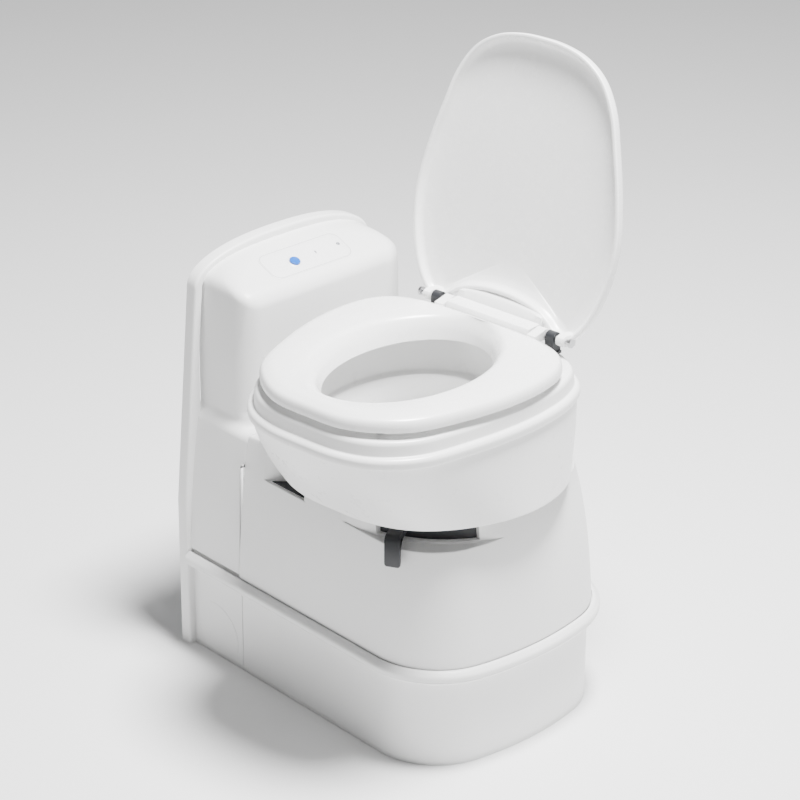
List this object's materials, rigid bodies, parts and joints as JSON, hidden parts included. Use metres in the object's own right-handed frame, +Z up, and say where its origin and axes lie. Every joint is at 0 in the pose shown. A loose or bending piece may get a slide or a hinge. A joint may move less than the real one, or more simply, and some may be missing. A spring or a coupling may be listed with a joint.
{
  "type": "cassette toilet",
  "caption": "Swivel-bowl cassette toilet: wall console with flush button, plinth housing, turning bowl with seat and lid, and a waste cassette that slides out to the rear.",
  "frame": {"origin": "on the wall plane at floor level, at the middle of the console's back edge", "axes": "+Z up, +Y toward the wall behind the console, X across the console; in the rest pose the seat's front points toward -X"},
  "size_m": [0.5202, 0.5599, 0.9311],
  "materials": {
    "housing_white": "satin, fine grain",
    "seat_white": "semi-gloss",
    "bowl_white": "smooth, glossy inside",
    "charcoal": "fine grain",
    "button_blue": "glossy",
    "label_film": "satin film",
    "lens_grey": "translucent grey",
    "tank_grey": "moulded",
    "mech_black": "moulded",
    "slide_nylon": "natural nylon",
    "rubber_black": "soft",
    "pad_grey": "soft",
    "screw_steel": "zinc plated",
    "board_green": "laminate with solder mask",
    "hose_clear": "flexible hose"
  },
  "bodies": {
    "base": {"front_housing": "housing_white", "bumper_bead": "housing_white", "rear_console": "housing_white", "bearing_ring": "slide_nylon", "cassette_guides": "slide_nylon", "panel_label": "label_film", "switch_bezel": "housing_white", "level_lens": "lens_grey", "control_board": "board_green", "flush_valve": "mech_black", "supply_hose": "hose_clear", "wall_screws": "screw_steel", "floor_screws": "screw_steel"},
    "button": {"flush_button": "button_blue"},
    "bowl": {"bowl_skirt": "bowl_white", "bowl_basin": "bowl_white", "turn_collar": "slide_nylon", "hinge_posts": "charcoal", "hinge_pins": "mech_black", "hinge_cover": "seat_white"},
    "seat": {"seat_ring": "seat_white", "seat_bumpers": "pad_grey"},
    "lid": {"lid_cover": "seat_white"},
    "lever": {"lever_drum": "charcoal", "lever_tab": "charcoal"},
    "cassette": {"cassette_tank": "tank_grey", "mechanism_plate": "mech_black", "lip_seal": "rubber_black"},
    "blade": {"sealing_blade": "mech_black"},
    "spout": {"pour_spout": "tank_grey"},
    "cap": {"spout_cap": "mech_black"},
    "vent": {"vent_plunger": "mech_black"},
    "grip": {"cassette_grip": "mech_black"},
    "float": {"level_float": "slide_nylon"},
    "wheel_l": {"wheel_left": "mech_black"},
    "wheel_r": {"wheel_right": "mech_black"}
  },
  "joints": [
    {"name": "bowl_swivel", "type": "hinge", "parent": "base", "child": "bowl", "pos_m": [0, -0.345, 0.366], "axis": [0, 0, 1], "range_deg": [-6, 174]},
    {"name": "seat_hinge", "type": "hinge", "parent": "bowl", "child": "seat", "pos_m": [0.12133, -0.33225, 0.545], "axis": [-0.1045, 0.9945, 0], "range_deg": [0, 95]},
    {"name": "lid_hinge", "type": "hinge", "parent": "bowl", "child": "lid", "pos_m": [0.12133, -0.33225, 0.545], "axis": [-0.1045, 0.9945, 0], "range_deg": [-102, 0]},
    {"name": "blade_lever", "type": "hinge", "parent": "base", "child": "lever", "pos_m": [0, -0.345, 0.345], "axis": [0, 0, 1], "range_deg": [0, 36]},
    {"name": "flush_button_press", "type": "slide", "parent": "base", "child": "button", "axis": [0, 0.3663, -0.9305], "range_m": [0, 0.0025], "stiffness_N_per_m": 400},
    {"name": "cassette_slide", "type": "slide", "parent": "base", "child": "cassette", "axis": [0, 1, 0], "range_m": [0, 0.42]},
    {"name": "blade_pivot", "type": "hinge", "parent": "cassette", "child": "blade", "pos_m": [0, -0.225, 0.245], "axis": [0, 0, 1], "range_deg": [-54, 0]},
    {"name": "spout_swivel", "type": "hinge", "parent": "cassette", "child": "spout", "pos_m": [0.118, -0.084, 0.25], "axis": [0, 0, 1], "range_deg": [-90, 0]},
    {"name": "spout_cap_turn", "type": "hinge", "parent": "spout", "child": "cap", "pos_m": [0.002, -0.084, 0.274], "axis": [1, 0, 0], "range_deg": [0, 90]},
    {"name": "vent_press", "type": "slide", "parent": "cassette", "child": "vent", "axis": [0, 0, -1], "range_m": [0, 0.004], "stiffness_N_per_m": 300},
    {"name": "grip_fold", "type": "hinge", "parent": "cassette", "child": "grip", "pos_m": [0, -0.026, 0.193], "axis": [1, 0, 0], "range_deg": [0, 95]},
    {"name": "float_arm", "type": "hinge", "parent": "cassette", "child": "float", "pos_m": [-0.06, -0.3, 0.2105], "axis": [0, 1, 0], "range_deg": [0, 35]},
    {"name": "wheel_l_spin", "type": "hinge", "parent": "cassette", "child": "wheel_l", "pos_m": [-0.152, -0.392, 0.024], "axis": [1, 0, 0], "continuous": true},
    {"name": "wheel_r_spin", "type": "hinge", "parent": "cassette", "child": "wheel_r", "pos_m": [0.152, -0.392, 0.024], "axis": [1, 0, 0], "continuous": true}
  ],
  "couplings": [
    {"joint": "blade_pivot", "follows": "blade_lever", "ratio": -1.5}
  ]
}
